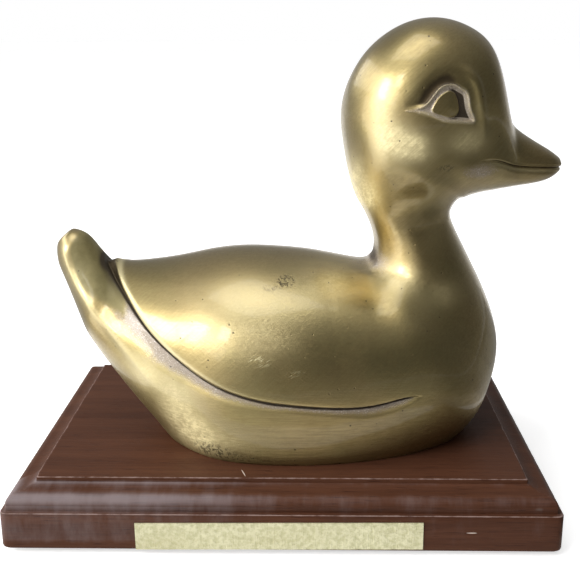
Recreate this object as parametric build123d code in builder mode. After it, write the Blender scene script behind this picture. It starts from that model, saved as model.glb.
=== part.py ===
from build123d import *
import os

# Brass duck ornament screwed down on a moulded hardwood plinth, in millimetres.
# The origin is the centre of the felt's underside. +Z is up and the duck looks along +X.

# Felt under the plinth
felt_thickness = 1.2
felt_margin = 3.0
felt_corner_radius = 3.0
felt_hole_margin = 0.6

# Plinth, with the steps of its moulding from the lower band up to the top panel
plinth_length = 127.0
plinth_width = 89.0
plinth_edge_round = 0.5
plinth_corner_round = 0.8
band_height = 9.0
shoulder_width = 1.2
quirk_height = 1.4
bead_radius = 2.1
cove_width = 3.7
cove_height = 1.0
step_height = 1.1

# Nameplate on the plinth's front band
nameplate_length = 64.8
nameplate_height = 6.6
nameplate_thickness = 0.4
nameplate_margin = 0.1
nameplate_shift = -0.3
nameplate_tilt = 0.45

# Duck
duck_length = 127.0
duck_height = 102.0
duck_width = 64.0
duck_advance = 5.2
duck_wall = 3.2
wing_relief = 1.1
scoop_depth = 0.6
gouge_depth = 0.9
eye_depth = 0.9
iris_diameter = 5.9
mouth_width = 0.6
mouth_depth = 0.5

# Fixings from below: two screws with washers, in bars cast across the hollow
screw_diameter = 4.0
screw_length = 15.5
screw_head_diameter = 8.0
screw_head_height = 2.6
screw_head_round = 1.0
screw_tip_chamfer = 0.6
slot_width = 1.1
slot_depth = 1.2
washer_diameter = 9.0
washer_thickness = 0.8
screw_clearance = 0.25
thread_clearance = 0.05
recess_clearance = 0.5
recess_depth = 6.2
screw_pitch = 36.0
screws_middle = 4.0
bar_width = 12.0
bar_cap = 1.0
bar_hole_run_out = 1.3

os.makedirs("parts", exist_ok=True)

# Levels and places that follow from the sizes
plinth_thickness = band_height + quirk_height + bead_radius + cove_height + step_height
seat_height = felt_thickness + plinth_thickness
tail_place = duck_advance - duck_length / 2
screw_places = [screws_middle - screw_pitch / 2, screws_middle + screw_pitch / 2]
washer_hole_diameter = screw_diameter + 2 * screw_clearance
recess_diameter = washer_diameter + 2 * recess_clearance
washer_level = felt_thickness + recess_depth - washer_thickness
bar_hole_depth = washer_level + screw_length + bar_hole_run_out - seat_height
bar_height = bar_hole_depth + bar_cap

# Sections of the duck, fanned from the tail over the back and round to the bill.
# Each has its back and its belly point as shares of the length and height, then its
# half width as a share of the width, how far down its widest point lies, how full
# the belly is, and how much of the wing's relief it carries.
section_shares = [
    (0.039, 0.492, 0.004, 0.455, 0.050, 0.50, 0.00, 1.0),
    (0.062, 0.481, 0.004, 0.419, 0.084, 0.50, 0.00, 1.0),
    (0.087, 0.453, 0.016, 0.373, 0.107, 0.52, 0.00, 1.0),
    (0.125, 0.410, 0.057, 0.263, 0.176, 0.55, 0.00, 1.0),
    (0.156, 0.401, 0.070, 0.214, 0.204, 0.55, 0.05, 1.0),
    (0.250, 0.414, 0.185, 0.042, 0.346, 0.59, 0.59, 1.0),
    (0.309, 0.429, 0.266, -0.054, 0.411, 0.57, 0.82, 1.0),
    (0.380, 0.440, 0.353, -0.123, 0.472, 0.57, 1.04, 0.8),
    (0.530, 0.431, 0.597, -0.127, 0.482, 0.55, 1.11, 0.2),
    (0.615, 0.411, 0.815, -0.013, 0.443, 0.53, 0.60, -0.4),
    (0.631, 0.422, 0.870, 0.093, 0.387, 0.53, 0.66, -0.4),
    (0.638, 0.441, 0.891, 0.199, 0.297, 0.50, 0.22, -0.4),
    (0.636, 0.490, 0.860, 0.345, 0.234, 0.48, 0.00, -0.4),
    (0.613, 0.555, 0.797, 0.500, 0.188, 0.48, 0.00, -0.4),
    (0.596, 0.595, 0.787, 0.541, 0.197, 0.47, 0.00, -0.4),
    (0.568, 0.732, 0.802, 0.573, 0.260, 0.43, 0.00, -0.4),
    (0.574, 0.821, 0.811, 0.576, 0.278, 0.42, 0.00, -0.4),
    (0.609, 0.909, 0.820, 0.580, 0.284, 0.42, 0.00, -0.4),
    (0.672, 0.976, 0.830, 0.584, 0.281, 0.43, 0.00, -0.4),
    (0.746, 0.999, 0.839, 0.587, 0.265, 0.44, 0.00, -0.4),
    (0.813, 0.975, 0.850, 0.590, 0.239, 0.46, 0.00, -0.4),
    (0.858, 0.920, 0.864, 0.593, 0.206, 0.49, 0.00, -0.4),
    (0.889, 0.786, 0.901, 0.601, 0.141, 0.56, 0.00, -0.4),
    (0.910, 0.741, 0.924, 0.606, 0.122, 0.56, 0.25, -0.4),
    (0.972, 0.692, 0.973, 0.621, 0.084, 0.53, 0.45, -0.4),
    (0.990, 0.676, 0.989, 0.635, 0.053, 0.50, 0.25, -0.4),
]
tail_tip_share = (0.020, 0.482)
bill_tip_share = (0.999, 0.656)
tip_round_shares = [(0.30, 0.04), (0.70, 0.29)]
hollow_sections = slice(3, 22)

# Outline of a half section, as shares of its half width and of its height
end_reach_share = 0.667
side_reach_share = 1.267
side_level_share = 0.22
widest_level_share = 1.36
belly_tuck_share = 0.6
belly_rise_share = 0.5

# Carved lines in side view, as shares of the duck's length and height
wing_line_shares = [
    (0.113, 0.420), (0.134, 0.384), (0.199, 0.294), (0.320, 0.194),
    (0.430, 0.157), (0.530, 0.143), (0.628, 0.140), (0.715, 0.162),
]
wing_top_shares = [(0.690, 0.300), (0.620, 0.520), (0.108, 0.520)]
scoop_low_shares = [
    (0.037, 0.471), (0.032, 0.429), (0.050, 0.375), (0.092, 0.312), (0.132, 0.273),
    (0.194, 0.220), (0.249, 0.188), (0.302, 0.161), (0.365, 0.147), (0.435, 0.147), (0.479, 0.156),
]
scoop_under_wing_shares = [(0.302, 0.257), (0.160, 0.384), (0.124, 0.400)]
scoop_back_shares = [(0.097, 0.426), (0.069, 0.459), (0.050, 0.475)]
gouge_top_shares = [(0.476, 0.146), (0.560, 0.139), (0.628, 0.138), (0.716, 0.161)]
gouge_low_share = (0.612, 0.113)
upper_lid_shares = [(0.686, 0.798), (0.724, 0.836), (0.760, 0.855), (0.790, 0.828), (0.804, 0.771)]
lower_lid_share = (0.745, 0.779)
iris_share = (0.753, 0.810)
mouth_shares = [(0.822, 0.682), (0.861, 0.676), (0.900, 0.663), (0.948, 0.656), (0.985, 0.651)]


def side_point(shares):
    """Return the side-view point that lies at the given shares of the duck."""
    along, up = shares
    return Vector(tail_place + along * duck_length, seat_height + up * duck_height)


def tip_sections(tip_share, full):
    """Return the sections that round off a tip, smallest first."""
    tip_along, tip_up = tip_share
    middle_along = (full[0] + full[2]) / 2
    middle_up = (full[1] + full[3]) / 2
    rounded = []
    for size, reach in tip_round_shares:
        along = tip_along + (middle_along - tip_along) * reach
        up = tip_up + (middle_up - tip_up) * reach
        across_along = (full[0] - middle_along) * size
        across_up = (full[1] - middle_up) * size
        rounded.append(
            (along + across_along, up + across_up, along - across_along, up - across_up,
             full[4] * size, *full[5:])
        )
    return rounded


tail_sections = tip_sections(tail_tip_share, section_shares[0])
bill_sections = tip_sections(bill_tip_share, section_shares[-1])
all_sections = tail_sections + section_shares + bill_sections[::-1]


def duck_form(sections, inset, relief=0):
    """Return the duck's skin over these sections, moved in by inset and out by relief."""
    with BuildPart() as form:
        for *ends, width_share, widest_share, fullness_share, relief_share in sections:
            back = side_point(ends[:2])
            belly = side_point(ends[2:])
            upward = (back - belly).normalized()
            growth = relief * relief_share - inset
            half_width = width_share * duck_width + growth
            height = (back - belly).length + 2 * growth
            foot = belly - upward * growth
            level_share = widest_level_share * (0.5 - widest_share)
            with BuildSketch(
                Plane((foot.X, 0, foot.Y), x_dir=(0, 1, 0), z_dir=(upward.Y, 0, -upward.X))
            ):
                with BuildLine():
                    side = Bezier(
                        (0, height),
                        (half_width * end_reach_share, height),
                        (half_width * side_reach_share, height * (level_share + 1 - side_level_share)),
                        (
                            half_width * (side_reach_share - belly_tuck_share * fullness_share),
                            height * (level_share + side_level_share + belly_rise_share * fullness_share),
                        ),
                        (half_width * (end_reach_share + fullness_share), 0),
                        (0, 0),
                    )
                    Line(side @ 1, side @ 0)
                make_face()
        loft()
        mirror(about=Plane.XZ)
    return form.part


# Wings, which stand proud of the back and flanks and fade out towards the neck
with BuildPart() as wings:
    with BuildSketch(Plane.XZ):
        with BuildLine():
            wing_line = Spline(*[side_point(shares) for shares in wing_line_shares])
            Polyline(wing_line @ 1, *[side_point(shares) for shares in wing_top_shares], wing_line @ 0)
        make_face()
    extrude(amount=duck_width, both=True)
    add(duck_form(all_sections, 0, wing_relief), mode=Mode.INTERSECT)

# Long scoop down the side of the tail and under the rear of each wing
with BuildPart() as scoop:
    with BuildSketch(Plane.XZ):
        with BuildLine():
            scoop_low = Spline(*[side_point(shares) for shares in scoop_low_shares])
            under_wing = Polyline(scoop_low @ 1, *[side_point(shares) for shares in scoop_under_wing_shares])
            Spline(under_wing @ 1, *[side_point(shares) for shares in scoop_back_shares], scoop_low @ 0)
        make_face()
    extrude(amount=duck_width, both=True)
    add(duck_form(all_sections, 0, -scoop_depth), mode=Mode.SUBTRACT)

# Scooped gouge under the front of each wing
with BuildPart() as gouge:
    with BuildSketch(Plane.XZ):
        with BuildLine():
            gouge_top = Spline(*[side_point(shares) for shares in gouge_top_shares])
            ThreePointArc(gouge_top @ 1, side_point(gouge_low_share), gouge_top @ 0)
        make_face()
    extrude(amount=duck_width, both=True)
    add(duck_form(all_sections, gouge_depth), mode=Mode.SUBTRACT)

# Almond recess of each eye, round the raised iris
with BuildPart() as eye_recess:
    with BuildSketch(Plane.XZ):
        with BuildLine():
            upper_lid = Spline(*[side_point(shares) for shares in upper_lid_shares])
            ThreePointArc(upper_lid @ 1, side_point(lower_lid_share), upper_lid @ 0)
        make_face()
        with Locations(side_point(iris_share)):
            Circle(iris_diameter / 2, mode=Mode.SUBTRACT)
    extrude(amount=duck_width, both=True)
    add(duck_form(all_sections, eye_depth), mode=Mode.SUBTRACT)

# Groove of the mouth along both sides of the bill
with BuildPart() as mouth:
    with BuildSketch(Plane.XZ):
        with BuildLine():
            Spline(*[side_point(shares) for shares in mouth_shares])
        trace(line_width=mouth_width)
    extrude(amount=duck_width, both=True)
    add(duck_form(all_sections, mouth_depth), mode=Mode.SUBTRACT)

# Hollow of the casting, with the two bars left standing across it
with BuildPart() as hollow:
    add(duck_form(section_shares[hollow_sections], duck_wall))
    with Locations([(place, 0, seat_height) for place in screw_places]):
        Box(
            bar_width, duck_width, bar_height,
            align=(Align.CENTER, Align.CENTER, Align.MIN), mode=Mode.SUBTRACT,
        )

# Duck, cast in one piece and standing on its open rim
with BuildPart() as duck_casting:
    add(duck_form(all_sections, 0))
    add(scoop.part, mode=Mode.SUBTRACT)
    add(wings.part)
    for carved in (gouge, eye_recess, mouth, hollow):
        add(carved.part, mode=Mode.SUBTRACT)
    split(bisect_by=Plane.XY.offset(seat_height), keep=Keep.TOP)
    with Locations([(place, 0, seat_height) for place in screw_places]):
        Cylinder(
            screw_diameter / 2 + thread_clearance, bar_hole_depth,
            align=(Align.CENTER, Align.CENTER, Align.MIN), mode=Mode.SUBTRACT,
        )
duck_casting.part.label = "duck_casting"
export_step(duck_casting.part, "parts/duck_casting.step")

# Plinth: the moulding is routed along all four sides, so its corners are mitred
with BuildPart() as plinth:
    for view, length, depth in (
        (Plane.XZ, plinth_length, plinth_width),
        (Plane.YZ, plinth_width, plinth_length),
    ):
        with BuildSketch(view):
            with BuildLine():
                under = Line((0, felt_thickness), (length / 2, felt_thickness))
                band = Line(under @ 1, under @ 1 + Vector(0, band_height))
                shoulder = Line(band @ 1, band @ 1 - Vector(shoulder_width, 0))
                quirk = Line(shoulder @ 1, shoulder @ 1 + Vector(0, quirk_height))
                bead = JernArc(quirk @ 1, (0, 1), bead_radius, 90)
                cove = TangentArc(bead @ 1, bead @ 1 + Vector(-cove_width, cove_height), tangent=bead % 1)
                step = Line(cove @ 1, cove @ 1 + Vector(0, step_height))
                Line(step @ 1, (0, seat_height))
                mirror(about=Plane.YZ)
            make_face()
        extrude(amount=depth / 2, both=True, mode=Mode.INTERSECT if plinth.part else Mode.ADD)
    band_corners = plinth.edges().filter_by(Axis.Z).group_by(Axis.Z)[0]
    fillet(band_corners, plinth_corner_round)
    fillet(plinth.faces().sort_by(Axis.Z)[0].edges(), plinth_edge_round)
    with Locations(*[Plane((place, 0, felt_thickness), z_dir=(0, 0, -1)) for place in screw_places]):
        CounterBoreHole(washer_hole_diameter / 2, recess_diameter / 2, recess_depth)
plinth.part.label = "plinth"
export_step(plinth.part, "parts/plinth.step")

# Nameplate, stuck slightly askew on the front band
with BuildPart() as nameplate:
    with BuildSketch(Plane.XZ.offset(plinth_width / 2)):
        lift = felt_thickness + plinth_edge_round + nameplate_margin
        with Locations((nameplate_shift, lift + nameplate_height / 2)):
            Rectangle(nameplate_length, nameplate_height, rotation=nameplate_tilt)
    extrude(amount=nameplate_thickness)
nameplate.part.label = "nameplate"
export_step(nameplate.part, "parts/nameplate.step")

# Felt under the plinth, punched out round the screw recesses
with BuildPart() as felt_base:
    with BuildSketch():
        RectangleRounded(
            plinth_length - 2 * felt_margin, plinth_width - 2 * felt_margin, felt_corner_radius
        )
        with Locations([(place, 0) for place in screw_places]):
            Circle(recess_diameter / 2 + felt_hole_margin, mode=Mode.SUBTRACT)
    extrude(amount=felt_thickness)
felt_base.part.label = "felt_base"
export_step(felt_base.part, "parts/felt_base.step")

# Screws and washers, one set under the tail and one under the breast
for end, place in zip(("rear", "front"), screw_places):
    with BuildPart() as washer:
        with BuildSketch(Plane((place, 0, washer_level))):
            Circle(washer_diameter / 2)
            Circle(washer_hole_diameter / 2, mode=Mode.SUBTRACT)
        extrude(amount=washer_thickness)
    washer.part.label = f"{end}_washer"
    export_step(washer.part, f"parts/{end}_washer.step")

    with BuildPart() as screw:
        with BuildSketch(Plane((place, 0, washer_level))):
            Circle(screw_head_diameter / 2)
        extrude(amount=-screw_head_height)
        fillet(screw.edges().sort_by(Axis.Z)[0], screw_head_round)
        with BuildSketch(Plane((place, 0, washer_level - screw_head_height))):
            Rectangle(screw_head_diameter, slot_width)
        extrude(amount=slot_depth, mode=Mode.SUBTRACT)
        with BuildSketch(Plane((place, 0, washer_level))):
            Circle(screw_diameter / 2)
        extrude(amount=screw_length)
        chamfer(screw.edges().sort_by(Axis.Z)[-1], screw_tip_chamfer)
    screw.part.label = f"{end}_screw"
    export_step(screw.part, f"parts/{end}_screw.step")
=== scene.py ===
"""Brass duck on a moulded hardwood plinth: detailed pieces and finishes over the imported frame."""

import math

import bmesh
import bpy
import numpy as np
from bpy.props import FloatProperty, FloatVectorProperty, PointerProperty
from mathutils import Matrix, Vector


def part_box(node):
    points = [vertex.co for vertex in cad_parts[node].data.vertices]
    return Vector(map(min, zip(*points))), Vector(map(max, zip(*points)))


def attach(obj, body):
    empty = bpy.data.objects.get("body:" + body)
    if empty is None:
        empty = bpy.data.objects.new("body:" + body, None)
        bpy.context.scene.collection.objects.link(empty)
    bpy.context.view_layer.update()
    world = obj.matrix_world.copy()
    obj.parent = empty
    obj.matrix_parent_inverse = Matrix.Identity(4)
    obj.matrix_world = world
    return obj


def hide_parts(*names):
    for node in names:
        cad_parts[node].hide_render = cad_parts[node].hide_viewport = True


bl_info = {
    "name": "Brass duck on a plinth",
    "version": (1, 0, 0),
    "blender": (4, 5, 0),
    "location": "3D View > Sidebar > Duck",
    "description": "Builds a hand-finished brass duck on a moulded hardwood plinth",
    "category": "Add Mesh",
}

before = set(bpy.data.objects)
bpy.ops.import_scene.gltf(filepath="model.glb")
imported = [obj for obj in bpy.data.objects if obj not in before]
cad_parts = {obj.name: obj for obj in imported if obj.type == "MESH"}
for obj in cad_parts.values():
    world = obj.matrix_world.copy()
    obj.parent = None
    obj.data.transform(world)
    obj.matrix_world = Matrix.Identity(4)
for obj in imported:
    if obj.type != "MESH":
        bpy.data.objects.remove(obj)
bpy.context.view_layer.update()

MM = 0.001

# Levels and places read off the frame
plinth_low, plinth_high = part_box("plinth")
plate_low, plate_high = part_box("nameplate")
seat_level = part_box("duck_casting")[0].z
screw_places = [sum(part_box(node)[k].x for k in (0, 1)) / 2 for node in ("rear_screw", "front_screw")]

# Sections of the duck, fanned from the tail over the back and round to the bill.
# Each has its back and its belly point as shares of the length and height, its half
# width as a share of the width, how far down its widest point lies, how full the
# belly is, and how much of the wing's relief it carries.
SECTION_SHARES = [
    (0.040, 0.495, 0.004, 0.455, 0.050, 0.50, 0.00, 1.0),
    (0.064, 0.485, 0.004, 0.419, 0.084, 0.50, 0.00, 1.0),
    (0.089, 0.456, 0.016, 0.373, 0.107, 0.52, 0.00, 1.0),
    (0.125, 0.410, 0.050, 0.266, 0.176, 0.55, 0.00, 1.0),
    (0.156, 0.401, 0.070, 0.214, 0.204, 0.55, 0.05, 1.0),
    (0.250, 0.414, 0.185, 0.042, 0.346, 0.59, 0.59, 1.0),
    (0.309, 0.429, 0.266, -0.054, 0.411, 0.57, 0.82, 1.0),
    (0.380, 0.440, 0.353, -0.123, 0.472, 0.57, 1.04, 0.8),
    (0.530, 0.431, 0.597, -0.127, 0.482, 0.55, 1.11, 0.2),
    (0.615, 0.411, 0.815, -0.013, 0.443, 0.53, 0.60, -0.4),
    (0.631, 0.422, 0.870, 0.093, 0.387, 0.53, 0.66, -0.4),
    (0.638, 0.441, 0.891, 0.199, 0.297, 0.50, 0.22, -0.4),
    (0.636, 0.490, 0.860, 0.345, 0.234, 0.48, 0.00, -0.4),
    (0.613, 0.555, 0.797, 0.500, 0.188, 0.48, 0.00, -0.4),
    (0.596, 0.595, 0.787, 0.541, 0.197, 0.47, 0.00, -0.4),
    (0.568, 0.732, 0.802, 0.573, 0.260, 0.43, 0.00, -0.4),
    (0.574, 0.821, 0.811, 0.576, 0.278, 0.42, 0.00, -0.4),
    (0.609, 0.909, 0.820, 0.580, 0.284, 0.42, 0.00, -0.4),
    (0.672, 0.976, 0.830, 0.584, 0.281, 0.43, 0.00, -0.4),
    (0.746, 0.999, 0.839, 0.587, 0.265, 0.44, 0.00, -0.4),
    (0.813, 0.975, 0.850, 0.590, 0.239, 0.46, 0.00, -0.4),
    (0.858, 0.920, 0.864, 0.593, 0.206, 0.49, 0.00, -0.4),
    (0.889, 0.786, 0.901, 0.601, 0.141, 0.56, 0.00, -0.4),
    (0.910, 0.741, 0.924, 0.606, 0.122, 0.56, 0.25, -0.4),
    (0.972, 0.692, 0.973, 0.621, 0.084, 0.53, 0.45, -0.4),
    (0.990, 0.676, 0.989, 0.635, 0.053, 0.50, 0.25, -0.4),
]
HOLLOW_SECTIONS = slice(3, 22)
TAIL_TIP_SHARE = (0.020, 0.482)
BILL_TIP_SHARE = (0.9965, 0.656)
TIP_ROUND_SHARES = [(0.30, 0.04), (0.70, 0.29)]

# Carved lines in side view, in millimetres from the plinth's middle and from the table
WING_LINE = [
    (-44.6, 68.0), (-43.9, 58.7), (-43.0, 57.4), (-41.5, 55.2), (-38.0, 51.1), (-33.0, 45.9), (-26.8, 41.1),
    (-17.6, 35.7), (-9.6, 33.0), (-3.7, 31.8), (2.5, 31.1), (8.1, 30.6), (12.8, 30.3), (17.0, 30.2),
    (21.5, 30.5), (25.8, 31.3), (29.1, 32.0), (33.4, 32.3),
]
FACET_LINE = [
    (-53.2, 65.6), (-54.5, 63.2), (-54.2, 59.6), (-52.0, 54.2), (-46.6, 47.8), (-41.0, 43.2), (-33.6, 38.2),
    (-26.7, 34.9), (-20.0, 32.4), (-13.1, 30.8), (-4.6, 29.6), (2.1, 29.2), (8.2, 28.6), (13.0, 28.1),
    (18.0, 27.6), (22.0, 27.7), (25.9, 28.5), (30.0, 30.1), (33.8, 32.2),
]
CHINE_LINE = [
    (-53.2, 65.6), (-54.5, 63.2), (-54.2, 59.6), (-52.0, 54.2), (-46.6, 47.8), (-41.2, 42.7),
    (-36.4, 38.1), (-31.7, 33.6), (-27.1, 28.6), (-22.7, 23.5),
]
LID_OUTLINE = [
    (28.2, 97.0), (30.4, 97.4), (32.4, 98.3), (34.0, 100.1), (35.9, 102.2), (38.1, 102.9), (39.6, 102.6),
    (40.8, 101.9), (41.8, 101.3), (42.5, 99.7), (43.0, 97.2), (43.8, 94.4), (41.6, 94.4), (38.5, 94.6),
    (36.5, 95.0), (34.4, 95.9), (31.6, 96.6),
]
IRIS_OUTLINE = [
    (34.0, 97.3), (34.9, 99.1), (36.3, 100.6), (37.9, 101.3), (39.1, 100.9), (39.7, 99.7), (40.1, 98.0),
    (40.0, 96.6), (39.2, 95.8), (37.2, 95.8), (35.4, 96.3), (34.2, 96.8),
]
BROW_LINE = [
    (39.6, 107.0), (42.5, 105.2), (44.1, 103.1), (45.0, 100.3), (45.6, 97.0), (46.3, 93.6), (46.6, 89.0),
]
MOUTH_LINE = [
    (45.2, 85.2), (48.4, 85.2), (51.1, 84.8), (54.3, 83.7), (58.2, 82.9), (62.1, 82.6), (68.2, 82.2),
]

# Places in side view where the skin is smoothed by hand, with their reach and how far it is blurred
SMOOTHED = [(28.5, 59.0, 14.0, 2.9), (34.0, 72.5, 9.0, 2.4)]

# Where along the duck its girth is measured, and how near to a line its mesh is split, coarse then fine
GIRTH_SHARE = 0.35
SPLIT_REACHES = (3.0, 1.3)

# Points nearer than the first are welded, and edges shorter than the second are dropped
WELD_GAP, SLIVER = 0.01 * MM, 0.001 * MM

# Edges that turn more than this stay crisp on the plinth and the plate
SHARP_ANGLE = math.radians(40)

# Marks in side view, by the paint that they add to: place, reach along and up, and strength
MARKS = {
    # Rubbed patches, painted pale and less metallic as highlights
    "rubbed_and_highlit": [
        (27.0, 90.0, 4.5, 3.8, 1.0), (23.2, 94.5, 2.4, 6.5, 0.6), (30.5, 88.5, 3.5, 3.0, 0.8),
        (17.0, 78.5, 3.2, 6.5, 1.0), (20.5, 75.0, 3.0, 4.5, 0.9), (42.5, 90.0, 4.2, 2.8, 0.6),
        (-7.0, 52.0, 14.0, 5.0, 0.4), (12.0, 56.0, 8.0, 3.5, 0.45), (-25.5, 28.5, 4.5, 6.0, 0.9),
        (-21.0, 22.0, 5.5, 5.0, 1.0), (-33.0, 34.5, 4.0, 4.0, 0.5), (-14.0, 21.5, 8.0, 3.0, 0.4),
        (-50.5, 60.0, 4.5, 7.5, 0.30), (-6.0, 45.0, 9.0, 4.0, 0.3), (28.5, 57.0, 4.5, 3.0, 0.45),
        (38.5, 53.5, 5.0, 3.0, 0.30), (38.0, 70.0, 4.0, 6.0, 0.15),
    ],
    "scuffed": [
        (-4.7, 40.9, 3.2, 1.5, 1.0), (3.6, 38.3, 3.4, 1.4, 0.9), (-18.0, 43.0, 9.0, 4.0, 0.35),
        (2.0, 50.0, 12.0, 6.0, 0.46), (25.0, 74.0, 4.0, 9.0, 0.4),
    ],
    "soiled": [
        (0.9, 56.3, 1.9, 1.0, 1.5), (-3.0, 55.0, 2.5, 0.8, 0.5), (-16.5, 18.8, 7.0, 2.2, 0.62),
        (-5.0, 17.2, 16.0, 1.2, 0.45), (20.5, 30.5, 7.0, 1.6, 0.45), (-20.0, 49.0, 5.0, 3.0, 0.3),
        (38.0, 84.0, 3.0, 1.5, 0.6),
    ],
    # Tarnish in the creases at the neck and the tail, which also paints their shade
    "shaded_and_tarnished": [(19.0, 59.8, 4.5, 1.6, 0.7), (22.4, 61.5, 1.4, 3.5, 0.75), (-44.8, 59.5, 1.2, 1.5, 0.5)],
    "sandy": [(21.2, 59.8, 5.0, 2.8, 0.85), (-30.0, 38.5, 6.0, 2.0, 0.25)],
}

# Soft swells of the hand-worked skin: place, reach along and up, and height in millimetres
SWELLS = [
    (36.0, 89.0, 9.5, 8.0, 1.1), (17.5, 90.0, 7.0, 9.0, -0.8), (-25.0, 15.8, 12.0, 3.6, 0.8),
    (-4.0, 15.8, 16.0, 3.6, 0.5), (20.0, 15.8, 16.0, 3.6, 0.4),
]

# Marks on the wood: middle, turns and reach of each, in millimetres and degrees
LOOSE_FIBRE = ((-8.7, -35.0, 14.6), (0, 0, -71), (2.2, 0.16, 3.0))
CORNER_DENT = ((57.9, -41.5, 11.4), (0, 0, 0), (2.7, 2.0, 1.1))
FRONT_NICK = ((42.9, -44.5, 6.1), (0, 0, 0), (1.3, 3.0, 0.16))

# Tones that the finishes mix with their main colours, painted highlights and a painted sheen among them
WHITE = (1, 1, 1)
BRASS_COOL, BRASS_WARM = (0.90, 0.93, 0.86), (1.06, 1.02, 0.97)
BRASS_STREAK = (0.225, 0.165, 0.066)
BRASS_MOTTLE = (0.20, 0.150, 0.062)
BRASS_RUBBED_HIGHLIGHT = (0.90, 0.78, 0.43)
BRASS_POLISH_HIGHLIGHT = (0.68, 0.595, 0.34)
OLIVE_DARK, OLIVE_PALE = (0.150, 0.128, 0.046), (0.205, 0.175, 0.070)
CAST_SPECKLE = (0.66, 0.60, 0.52)
PIT_GRIME = (0.040, 0.030, 0.017)
WOOD_FIBRE = (0.112, 0.045, 0.024)
WOOD_SHEEN = (0.36, 0.32, 0.335)
BARE_WOOD = (0.55, 0.45, 0.38)
DENTED_WOOD = (0.27, 0.28, 0.27)
FOIL_GLINT, FOIL_STAIN = (0.680, 0.650, 0.445), (0.420, 0.385, 0.205)
FELT_NAP, FELT_FADED = (0.040, 0.105, 0.062), (0.060, 0.110, 0.075)
STEEL_SPOT = (0.330, 0.310, 0.270)


def length_property(name, description, millimetres):
    """Return a property for a length, whose default is given in millimetres."""
    return FloatProperty(name=name, description=description, default=millimetres * MM, unit="LENGTH")


def colour_property(name, description, colour):
    """Return a property for a colour of a finish."""
    return FloatVectorProperty(
        name=name, description=description, default=colour, subtype="COLOR", size=3, min=0, max=1,
    )


class DuckSizes(bpy.types.PropertyGroup):
    """Sizes of the casting and the depths of what is carved in it."""

    length: length_property("Length", "Length that the duck's sections are shares of", 127)
    height: length_property("Height", "Height that the duck's sections are shares of", 101.85)
    width: length_property("Width", "Width that the duck's sections are shares of", 64)
    advance: length_property("Advance", "How far the duck's middle stands ahead of the plinth's", 5.2)
    wall: length_property("Wall", "Thickness of the hollow casting's wall", 3.2)
    wing_relief: length_property("Wing relief", "How far the wings stand proud at the tail", 1.1)
    facet_depth: length_property("Facet depth", "Depth of the facet along the tail at the wing's root", 0.9)
    eye_depth: length_property("Eye depth", "Depth of the recess round each iris", 0.9)
    mesh_spacing: length_property("Mesh spacing", "Spacing of the skin's mesh away from carved lines", 0.65)


class PlinthSizes(bpy.types.PropertyGroup):
    """Sizes of the plinth's moulding, from the table up, and of its screw holes."""

    band: length_property("Band", "Height of the plain band at the foot", 9.0)
    corner: length_property("Corner", "Radius of the band's upright corners", 1.7)
    arris: length_property("Arris", "How far the sharp edges are worn round", 0.25)
    shoulder: length_property("Shoulder", "Flat on top of the band", 1.2)
    quirk: length_property("Quirk", "Upright step below the bead", 1.4)
    bead: length_property("Bead", "Radius of the rounded bead", 2.1)
    cove_width: length_property("Cove width", "Width of the sloping cove", 3.7)
    cove_rise: length_property("Cove rise", "Rise of the sloping cove", 1.0)
    pocket_width: length_property("Pocket width", "Width of the pocket for a screw's head", 10.0)
    pocket_depth: length_property("Pocket depth", "Depth of the pocket for a screw's head", 6.2)
    hole_width: length_property("Hole width", "Width of the hole for a screw", 4.5)


class DuckColours(bpy.types.PropertyGroup):
    """Colours of the finishes."""

    brass: colour_property("Brass", "Reflection colour of the polished brass", (0.335, 0.264, 0.122))
    # Tarnish colour, also used as painted shade in creases and recesses
    patina_and_shade: colour_property("Patina", "Dark tarnish in creases", (0.050, 0.036, 0.022))
    cast_skin: colour_property(
        "Cast skin", "Dull sandy metal that polishing didn't reach", (0.300, 0.250, 0.215)
    )
    wood: colour_property("Wood", "Stained hardwood between the pores", (0.076, 0.0300, 0.0160))
    wood_dark: colour_property("Dark wood", "Dark bands and pores of the grain", (0.038, 0.014, 0.008))
    worn_wood: colour_property(
        "Worn wood", "Varnish rubbed thin and pale along the edges", (0.300, 0.215, 0.190)
    )
    plate: colour_property("Nameplate", "Pale gold foil of the nameplate", (0.470, 0.450, 0.265))
    felt: colour_property("Felt", "Felt under the plinth", (0.016, 0.052, 0.028))
    steel: colour_property("Steel", "Plated screws and washers", (0.560, 0.550, 0.520))


# Shader building


class Signal:
    """A socket in a node tree. Python's operators on it add Math nodes."""

    def __init__(self, tree, socket):
        self.tree = tree
        self.socket = socket

    def math(self, operation, *values):
        """Add a Math node over these numbers or signals and return its output."""
        node = self.tree.nodes.new("ShaderNodeMath")
        node.operation = operation
        for entry, value in zip(node.inputs, values):
            feed(self.tree, entry, value)
        return Signal(self.tree, node.outputs[0])

    def __add__(self, other):
        return self.math("ADD", self, other)

    def __sub__(self, other):
        return self.math("SUBTRACT", self, other)

    def __rsub__(self, other):
        return self.math("SUBTRACT", other, self)

    def __mul__(self, other):
        return self.math("MULTIPLY", self, other)

    __radd__ = __add__
    __rmul__ = __mul__

    def capped(self):
        """Return this signal, held at 1 where it is more."""
        return self.math("MINIMUM", self, 1.0)


def feed(tree, entry, value):
    """Link a signal to a socket, or set the socket to a plain value."""
    if isinstance(value, Signal):
        tree.links.new(value.socket, entry)
    elif entry.type == "RGBA" and len(value) == 3:
        entry.default_value = (*value, 1)
    else:
        entry.default_value = value


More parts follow.
